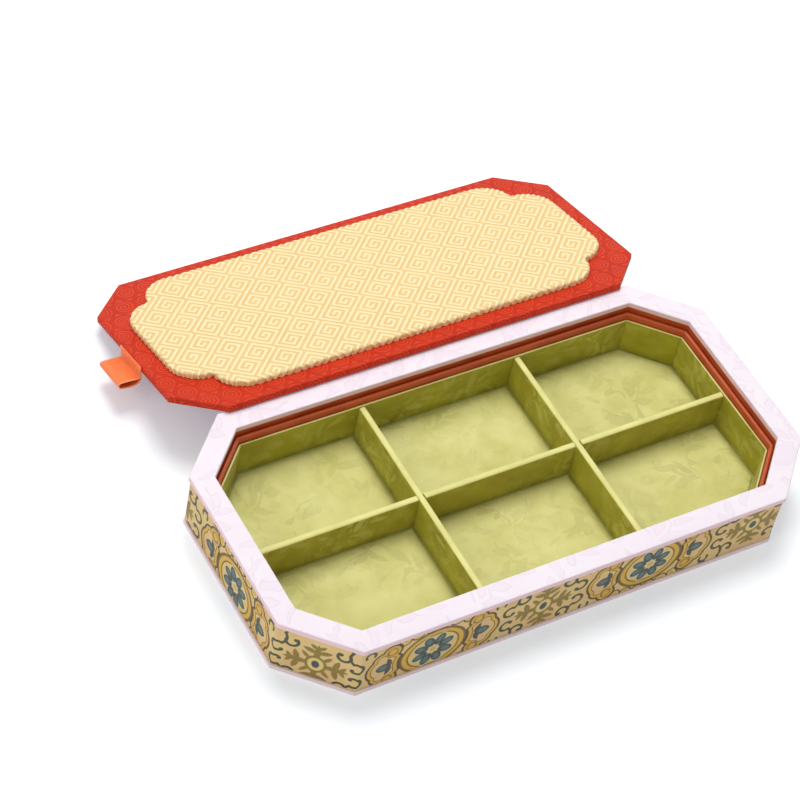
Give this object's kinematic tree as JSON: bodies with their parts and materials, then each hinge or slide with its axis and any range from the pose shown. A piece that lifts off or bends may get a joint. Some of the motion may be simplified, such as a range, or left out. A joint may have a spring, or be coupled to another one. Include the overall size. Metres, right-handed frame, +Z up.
{
  "type": "lidded jewelry tray",
  "caption": "Long octagonal jewelry tray covered in cloth, with a wide flat rim, divided padded compartments and a loose drop-in lid lifted by a ribbon.",
  "frame": {"origin": "centre of the tray's underside, without the lid", "axes": "+Z up, +X along the tray's length to the right of the picture's near long side, +Y to the rear, where the lid leans"},
  "size_m": [0.26, 0.2374, 0.0348],
  "materials": {
    "pink_paper": "matt lining paper",
    "grey_board": "uncoated grey board",
    "side_brocade": "woven brocade with a light sheen",
    "lilac_damask": "pale damask, satin ground",
    "terracotta_cloth": "plain book cloth with a light sheen",
    "green_damask": "tone on tone damask with a light sheen",
    "red_damask": "tone on tone damask with a light sheen",
    "gold_brocade": "raised figured brocade",
    "orange_satin": "satin ribbon"
  },
  "bodies": {
    "case": {"base_board": "pink_paper", "side_front": "grey_board", "corner_front_right": "grey_board", "end_right": "grey_board", "corner_back_right": "grey_board", "side_back": "grey_board", "corner_back_left": "grey_board", "end_left": "grey_board", "corner_front_left": "grey_board", "top_frame": "grey_board", "brocade_wrap": "side_brocade", "frame_cover": "lilac_damask", "recess_wall": "terracotta_cloth", "seat_ring": "terracotta_cloth", "insert_floor": "green_damask", "insert_wall_front": "green_damask", "insert_corner_front_right": "green_damask", "insert_wall_right": "green_damask", "insert_corner_back_right": "green_damask", "insert_wall_back": "green_damask", "insert_corner_back_left": "green_damask", "insert_wall_left": "green_damask", "insert_corner_front_left": "green_damask", "divider_long": "green_damask", "divider_cross_left": "green_damask", "divider_cross_right": "green_damask", "floor_pad_front_left": "green_damask", "floor_pad_front_middle": "green_damask", "floor_pad_front_right": "green_damask", "floor_pad_back_left": "green_damask", "floor_pad_back_middle": "green_damask", "floor_pad_back_right": "green_damask"},
    "ribbon_pull": {"ribbon_pull": "orange_satin"},
    "lid": {"lid_lining": "red_damask", "lid_board": "grey_board", "lid_cover": "red_damask", "cartouche_board": "grey_board", "cartouche_cover": "gold_brocade"}
  },
  "joints": [
    {"name": "lid_swing", "type": "hinge", "parent": "case", "child": "ribbon_pull", "pos_m": [0, 0.05962, 0.03108], "axis": [1, 0, 0], "range_deg": [0, 196.65]},
    {"name": "lid_level", "type": "hinge", "parent": "ribbon_pull", "child": "lid", "pos_m": [0, 0.1178, 0.01752], "axis": [1, 0, 0], "range_deg": [-180.5, 0.5]}
  ],
  "couplings": [
    {"joint": "lid_level", "follows": "lid_swing", "ratio": -0.91534}
  ]
}
